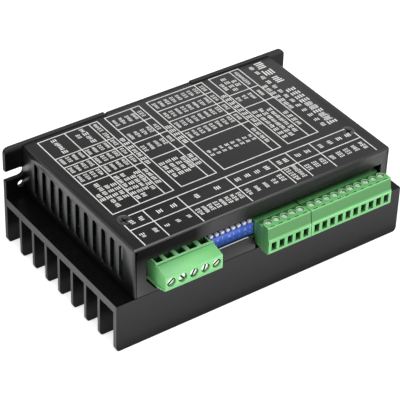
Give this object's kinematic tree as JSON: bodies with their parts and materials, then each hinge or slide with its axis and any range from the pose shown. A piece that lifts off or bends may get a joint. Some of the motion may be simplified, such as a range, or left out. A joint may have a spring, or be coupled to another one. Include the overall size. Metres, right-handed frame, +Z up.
{
  "type": "motor driver module",
  "caption": "Boxed motor driver: finned black heat sink with slotted back flange, vented sheet cover, circuit board, option switch and green plug-in screw terminals.",
  "frame": {"origin": "centre of the heat sink's footprint, on the plane of the fin tips", "axes": "+X along the row of terminals to the signal end, +Y towards the back flange, +Z up from the fins to the cover"},
  "size_m": [0.1348, 0.0872, 0.045],
  "materials": {
    "anodised_black": "black anodised extrusion",
    "painted_cover": "satin black powder coat",
    "board_laminate": "solder mask over glass epoxy",
    "zinc_steel": "zinc plated",
    "black_screw": "black oxide steel",
    "epoxy_black": "moulded epoxy",
    "capacitor_sleeve": "shrink sleeve",
    "terminal_green": "moulded polyamide",
    "switch_blue": "moulded",
    "slider_white": "moulded"
  },
  "bodies": {
    "chassis": {"heatsink": "anodised_black", "cover": "painted_cover", "circuit_board": "board_laminate", "cover_post_left": "zinc_steel", "cover_post_right": "zinc_steel", "board_spacer_left": "zinc_steel", "board_spacer_right": "zinc_steel", "cover_screw_left": "black_screw", "cover_screw_right": "black_screw", "clamp_strip": "zinc_steel", "clamp_screw_left": "zinc_steel", "clamp_screw_right": "zinc_steel", "transistor_1": "epoxy_black", "transistor_2": "epoxy_black", "transistor_3": "epoxy_black", "transistor_4": "epoxy_black", "transistor_5": "epoxy_black", "transistor_6": "epoxy_black", "capacitor_1": "capacitor_sleeve", "capacitor_2": "capacitor_sleeve", "power_header": "terminal_green", "signal_a_header": "terminal_green", "signal_b_header": "terminal_green", "option_switch": "switch_blue"},
    "power_plug": {"power_plug": "terminal_green"},
    "signal_a_plug": {"signal_a_plug": "terminal_green"},
    "signal_b_plug": {"signal_b_plug": "terminal_green"},
    "power_screw_1": {"power_screw_1": "zinc_steel"},
    "power_cage_1": {"power_cage_1": "zinc_steel"},
    "power_screw_2": {"power_screw_2": "zinc_steel"},
    "power_cage_2": {"power_cage_2": "zinc_steel"},
    "power_screw_3": {"power_screw_3": "zinc_steel"},
    "power_cage_3": {"power_cage_3": "zinc_steel"},
    "power_screw_4": {"power_screw_4": "zinc_steel"},
    "power_cage_4": {"power_cage_4": "zinc_steel"},
    "power_screw_5": {"power_screw_5": "zinc_steel"},
    "power_cage_5": {"power_cage_5": "zinc_steel"},
    "signal_a_screw_1": {"signal_a_screw_1": "zinc_steel"},
    "signal_a_screw_2": {"signal_a_screw_2": "zinc_steel"},
    "signal_a_screw_3": {"signal_a_screw_3": "zinc_steel"},
    "signal_a_screw_4": {"signal_a_screw_4": "zinc_steel"},
    "signal_a_screw_5": {"signal_a_screw_5": "zinc_steel"},
    "signal_b_screw_1": {"signal_b_screw_1": "zinc_steel"},
    "signal_b_screw_2": {"signal_b_screw_2": "zinc_steel"},
    "signal_b_screw_3": {"signal_b_screw_3": "zinc_steel"},
    "signal_b_screw_4": {"signal_b_screw_4": "zinc_steel"},
    "signal_b_screw_5": {"signal_b_screw_5": "zinc_steel"},
    "signal_b_screw_6": {"signal_b_screw_6": "zinc_steel"},
    "signal_b_screw_7": {"signal_b_screw_7": "zinc_steel"},
    "signal_b_screw_8": {"signal_b_screw_8": "zinc_steel"},
    "signal_b_screw_9": {"signal_b_screw_9": "zinc_steel"},
    "signal_b_screw_10": {"signal_b_screw_10": "zinc_steel"},
    "switch_slider_1": {"switch_slider_1": "slider_white"},
    "switch_slider_2": {"switch_slider_2": "slider_white"},
    "switch_slider_3": {"switch_slider_3": "slider_white"},
    "switch_slider_4": {"switch_slider_4": "slider_white"},
    "switch_slider_5": {"switch_slider_5": "slider_white"},
    "switch_slider_6": {"switch_slider_6": "slider_white"},
    "switch_slider_7": {"switch_slider_7": "slider_white"},
    "switch_slider_8": {"switch_slider_8": "slider_white"}
  },
  "joints": [
    {"name": "power_plug_pull", "type": "slide", "parent": "chassis", "child": "power_plug", "axis": [0, -1, 0], "range_m": [0, 0.01]},
    {"name": "signal_a_plug_pull", "type": "slide", "parent": "chassis", "child": "signal_a_plug", "axis": [0, -1, 0], "range_m": [0, 0.009]},
    {"name": "signal_b_plug_pull", "type": "slide", "parent": "chassis", "child": "signal_b_plug", "axis": [0, -1, 0], "range_m": [0, 0.009]},
    {"name": "power_screw_1_turn", "type": "hinge", "parent": "power_plug", "child": "power_screw_1", "pos_m": [-0.04668, -0.0446, 0.028], "axis": [0, -1, 0], "range_deg": [0, 560]},
    {"name": "power_cage_1_rise", "type": "slide", "parent": "power_plug", "child": "power_cage_1", "axis": [0, 1, 0], "range_m": [0, 0.00077]},
    {"name": "power_screw_2_turn", "type": "hinge", "parent": "power_plug", "child": "power_screw_2", "pos_m": [-0.04161, -0.0446, 0.028], "axis": [0, -1, 0], "range_deg": [0, 560]},
    {"name": "power_cage_2_rise", "type": "slide", "parent": "power_plug", "child": "power_cage_2", "axis": [0, 1, 0], "range_m": [0, 0.00077]},
    {"name": "power_screw_3_turn", "type": "hinge", "parent": "power_plug", "child": "power_screw_3", "pos_m": [-0.03653, -0.0446, 0.028], "axis": [0, -1, 0], "range_deg": [0, 560]},
    {"name": "power_cage_3_rise", "type": "slide", "parent": "power_plug", "child": "power_cage_3", "axis": [0, 1, 0], "range_m": [0, 0.00077]},
    {"name": "power_screw_4_turn", "type": "hinge", "parent": "power_plug", "child": "power_screw_4", "pos_m": [-0.03145, -0.0446, 0.028], "axis": [0, -1, 0], "range_deg": [0, 560]},
    {"name": "power_cage_4_rise", "type": "slide", "parent": "power_plug", "child": "power_cage_4", "axis": [0, 1, 0], "range_m": [0, 0.00077]},
    {"name": "power_screw_5_turn", "type": "hinge", "parent": "power_plug", "child": "power_screw_5", "pos_m": [-0.02636, -0.0446, 0.028], "axis": [0, -1, 0], "range_deg": [0, 560]},
    {"name": "power_cage_5_rise", "type": "slide", "parent": "power_plug", "child": "power_cage_5", "axis": [0, 1, 0], "range_m": [0, 0.00077]},
    {"name": "signal_a_screw_1_turn", "type": "hinge", "parent": "signal_a_plug", "child": "signal_a_screw_1", "pos_m": [-0.00097, -0.04245, 0.0342], "axis": [0, 0, 1], "range_deg": [0, 1080]},
    {"name": "signal_a_screw_2_turn", "type": "hinge", "parent": "signal_a_plug", "child": "signal_a_screw_2", "pos_m": [0.00284, -0.04245, 0.0342], "axis": [0, 0, 1], "range_deg": [0, 1080]},
    {"name": "signal_a_screw_3_turn", "type": "hinge", "parent": "signal_a_plug", "child": "signal_a_screw_3", "pos_m": [0.00665, -0.04245, 0.0342], "axis": [0, 0, 1], "range_deg": [0, 1080]},
    {"name": "signal_a_screw_4_turn", "type": "hinge", "parent": "signal_a_plug", "child": "signal_a_screw_4", "pos_m": [0.01046, -0.04245, 0.0342], "axis": [0, 0, 1], "range_deg": [0, 1080]},
    {"name": "signal_a_screw_5_turn", "type": "hinge", "parent": "signal_a_plug", "child": "signal_a_screw_5", "pos_m": [0.01427, -0.04245, 0.0342], "axis": [0, 0, 1], "range_deg": [0, 1080]},
    {"name": "signal_b_screw_1_turn", "type": "hinge", "parent": "signal_b_plug", "child": "signal_b_screw_1", "pos_m": [0.01953, -0.04245, 0.0342], "axis": [0, 0, 1], "range_deg": [0, 1080]},
    {"name": "signal_b_screw_2_turn", "type": "hinge", "parent": "signal_b_plug", "child": "signal_b_screw_2", "pos_m": [0.02334, -0.04245, 0.0342], "axis": [0, 0, 1], "range_deg": [0, 1080]},
    {"name": "signal_b_screw_3_turn", "type": "hinge", "parent": "signal_b_plug", "child": "signal_b_screw_3", "pos_m": [0.02715, -0.04245, 0.0342], "axis": [0, 0, 1], "range_deg": [0, 1080]},
    {"name": "signal_b_screw_4_turn", "type": "hinge", "parent": "signal_b_plug", "child": "signal_b_screw_4", "pos_m": [0.03096, -0.04245, 0.0342], "axis": [0, 0, 1], "range_deg": [0, 1080]},
    {"name": "signal_b_screw_5_turn", "type": "hinge", "parent": "signal_b_plug", "child": "signal_b_screw_5", "pos_m": [0.03477, -0.04245, 0.0342], "axis": [0, 0, 1], "range_deg": [0, 1080]},
    {"name": "signal_b_screw_6_turn", "type": "hinge", "parent": "signal_b_plug", "child": "signal_b_screw_6", "pos_m": [0.03858, -0.04245, 0.0342], "axis": [0, 0, 1], "range_deg": [0, 1080]},
    {"name": "signal_b_screw_7_turn", "type": "hinge", "parent": "signal_b_plug", "child": "signal_b_screw_7", "pos_m": [0.04239, -0.04245, 0.0342], "axis": [0, 0, 1], "range_deg": [0, 1080]},
    {"name": "signal_b_screw_8_turn", "type": "hinge", "parent": "signal_b_plug", "child": "signal_b_screw_8", "pos_m": [0.0462, -0.04245, 0.0342], "axis": [0, 0, 1], "range_deg": [0, 1080]},
    {"name": "signal_b_screw_9_turn", "type": "hinge", "parent": "signal_b_plug", "child": "signal_b_screw_9", "pos_m": [0.05001, -0.04245, 0.0342], "axis": [0, 0, 1], "range_deg": [0, 1080]},
    {"name": "signal_b_screw_10_turn", "type": "hinge", "parent": "signal_b_plug", "child": "signal_b_screw_10", "pos_m": [0.05382, -0.04245, 0.0342], "axis": [0, 0, 1], "range_deg": [0, 1080]},
    {"name": "switch_slider_1_set", "type": "slide", "parent": "chassis", "child": "switch_slider_1", "axis": [0, 1, 0], "range_m": [0, 0.0024]},
    {"name": "switch_slider_2_set", "type": "slide", "parent": "chassis", "child": "switch_slider_2", "axis": [0, 1, 0], "range_m": [0, 0.0024]},
    {"name": "switch_slider_3_set", "type": "slide", "parent": "chassis", "child": "switch_slider_3", "axis": [0, 1, 0], "range_m": [0, 0.0024]},
    {"name": "switch_slider_4_set", "type": "slide", "parent": "chassis", "child": "switch_slider_4", "axis": [0, 1, 0], "range_m": [0, 0.0024]},
    {"name": "switch_slider_5_set", "type": "slide", "parent": "chassis", "child": "switch_slider_5", "axis": [0, 1, 0], "range_m": [0, 0.0024]},
    {"name": "switch_slider_6_set", "type": "slide", "parent": "chassis", "child": "switch_slider_6", "axis": [0, 1, 0], "range_m": [0, 0.0024]},
    {"name": "switch_slider_7_set", "type": "slide", "parent": "chassis", "child": "switch_slider_7", "axis": [0, 1, 0], "range_m": [0, 0.0024]},
    {"name": "switch_slider_8_set", "type": "slide", "parent": "chassis", "child": "switch_slider_8", "axis": [0, 1, 0], "range_m": [0, 0.0024]}
  ],
  "couplings": [
    {"joint": "power_screw_1_turn", "follows": "power_cage_1_rise", "rad_per_m": 12566},
    {"joint": "power_screw_2_turn", "follows": "power_cage_2_rise", "rad_per_m": 12566},
    {"joint": "power_screw_3_turn", "follows": "power_cage_3_rise", "rad_per_m": 12566},
    {"joint": "power_screw_4_turn", "follows": "power_cage_4_rise", "rad_per_m": 12566},
    {"joint": "power_screw_5_turn", "follows": "power_cage_5_rise", "rad_per_m": 12566}
  ]
}
